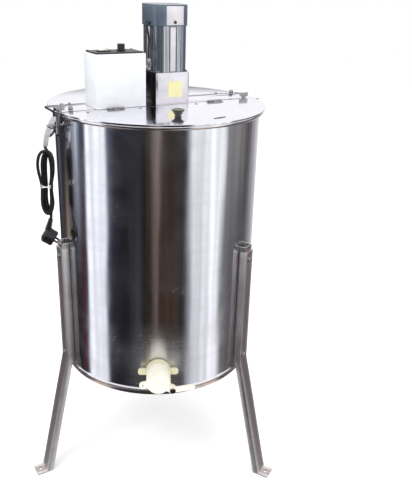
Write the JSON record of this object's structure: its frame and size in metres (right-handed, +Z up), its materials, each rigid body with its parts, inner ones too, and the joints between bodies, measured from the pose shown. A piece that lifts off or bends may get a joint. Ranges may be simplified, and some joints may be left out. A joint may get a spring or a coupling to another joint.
{
  "type": "honey extractor",
  "caption": "Motor-driven honey extractor: steel drum on splayed legs, hinged half lid, crossbar with gearmotor and control box, frame reel inside, plastic honey gate.",
  "frame": {"origin": "centre of the bounding box at floor level, under the feet", "axes": "+Z up, -Y towards the honey gate at the front, +X to the right seen from the front"},
  "size_m": [0.6626, 0.6886, 1.2093],
  "materials": {
    "polished_steel": "polished stainless sheet",
    "brushed_steel": "plain rolled stainless",
    "bright_fastener": "bright zinc and stainless fasteners",
    "reel_wire": "welded stainless",
    "gear_aluminium": "bead-blasted casting",
    "blue_grey_paint": "smooth paint",
    "white_paint": "smooth powder coat",
    "black_plastic": "fine texture",
    "ivory_plastic": "moulded",
    "beige_plastic": "moulded",
    "black_rubber": "smooth cable sheath",
    "board_green": "lacquered board",
    "rotor_steel": "machined",
    "clear_strap": "translucent strap"
  },
  "bodies": {
    "stand": {"drum_shell": "polished_steel", "drum_floor": "polished_steel", "shaft_seat": "beige_plastic", "leg_bracket_left": "brushed_steel", "leg_bracket_right": "brushed_steel", "leg_bracket_rear": "brushed_steel", "leg_left": "brushed_steel", "leg_right": "brushed_steel", "leg_rear": "brushed_steel", "outlet_socket": "polished_steel", "gate_body": "ivory_plastic", "gate_pivot_screw": "bright_fastener", "crossbar": "polished_steel", "rim_hook": "bright_fastener", "clamp_stud": "bright_fastener", "beam_bolt_left": "bright_fastener", "beam_bolt_right": "bright_fastener", "rear_cover": "polished_steel", "hinge_left": "bright_fastener", "hinge_right": "bright_fastener", "gearbox_housing": "gear_aluminium", "motor_body": "gear_aluminium", "motor_cap": "blue_grey_paint", "motor_lead": "black_rubber", "lead_connector": "bright_fastener", "control_box": "white_paint", "box_panel": "black_plastic", "switch_bezel": "black_plastic", "control_board": "board_green", "cord_gland": "black_plastic", "power_cord": "black_rubber", "cord_hank": "black_rubber", "mains_plug": "black_rubber", "hank_strap": "clear_strap", "cord_clip_rear": "black_plastic", "cord_clip_side": "black_plastic"},
    "front_lid": {"front_lid": "polished_steel", "lid_leaf_left": "bright_fastener", "lid_leaf_right": "bright_fastener", "lid_knob": "black_plastic"},
    "reel": {"reel_shaft": "polished_steel", "shaft_coupling": "brushed_steel", "reel_spider_lower": "brushed_steel", "reel_spider_upper": "brushed_steel", "frame_basket_1": "reel_wire", "frame_basket_2": "reel_wire", "frame_basket_3": "reel_wire", "frame_basket_4": "reel_wire", "output_shaft": "rotor_steel"},
    "rotor": {"motor_rotor": "rotor_steel", "cooling_fan": "black_plastic"},
    "speed_knob": {"speed_knob": "black_plastic"},
    "power_switch": {"power_switch": "beige_plastic"},
    "gate_blade": {"gate_blade": "ivory_plastic"},
    "outlet_nut": {"outlet_nut": "beige_plastic"},
    "wing_nut_left": {"wing_nut_left": "bright_fastener"},
    "wing_nut_right": {"wing_nut_right": "bright_fastener"},
    "side_screw_left": {"side_screw_left": "bright_fastener"},
    "side_screw_right": {"side_screw_right": "bright_fastener"}
  },
  "joints": [
    {"name": "front_lid_hinge", "type": "hinge", "parent": "stand", "child": "front_lid", "pos_m": [0.0253, -0.06942, 0.98542], "axis": [-0.866, -0.5, 0], "range_deg": [0, 80]},
    {"name": "reel_spin", "type": "hinge", "parent": "stand", "child": "reel", "pos_m": [0, -0.0256, 0.66], "axis": [0, 0, 1], "continuous": true},
    {"name": "rotor_spin", "type": "hinge", "parent": "stand", "child": "rotor", "pos_m": [0.01559, -0.0166, 1.1024], "axis": [0, 0, 1], "continuous": true},
    {"name": "speed_knob_turn", "type": "hinge", "parent": "stand", "child": "speed_knob", "pos_m": [-0.082, -0.07756, 1.1123], "axis": [0, 0, -1], "range_deg": [0, 270]},
    {"name": "power_switch_rock", "type": "hinge", "parent": "stand", "child": "power_switch", "pos_m": [-0.11898, -0.10353, 1.1073], "axis": [-0.5, 0.866, 0], "range_deg": [0, 12]},
    {"name": "gate_blade_swing", "type": "hinge", "parent": "stand", "child": "gate_blade", "pos_m": [0.05305, -0.33594, 0.359], "axis": [-0.061, 0.9981, 0], "range_deg": [0, 75]},
    {"name": "outlet_nut_turn", "type": "hinge", "parent": "stand", "child": "outlet_nut", "pos_m": [0.01587, -0.28512, 0.377], "axis": [-0.061, 0.9981, 0], "continuous": true},
    {"name": "wing_nut_left_turn", "type": "hinge", "parent": "stand", "child": "wing_nut_left", "pos_m": [-0.21034, -0.1863, 0.9864], "axis": [0, 0, 1], "continuous": true},
    {"name": "wing_nut_right_turn", "type": "hinge", "parent": "stand", "child": "wing_nut_right", "pos_m": [0.21765, 0.06542, 0.9864], "axis": [0, 0, 1], "continuous": true},
    {"name": "side_screw_left_turn", "type": "hinge", "parent": "stand", "child": "side_screw_left", "pos_m": [-0.22583, -0.17446, 0.9484], "axis": [0.866, 0.5, 0], "continuous": true},
    {"name": "side_screw_right_turn", "type": "hinge", "parent": "stand", "child": "side_screw_right", "pos_m": [0.24183, 0.09554, 0.9484], "axis": [0.866, 0.5, 0], "continuous": true}
  ],
  "couplings": [
    {"joint": "rotor_spin", "follows": "reel_spin", "ratio": -5}
  ]
}
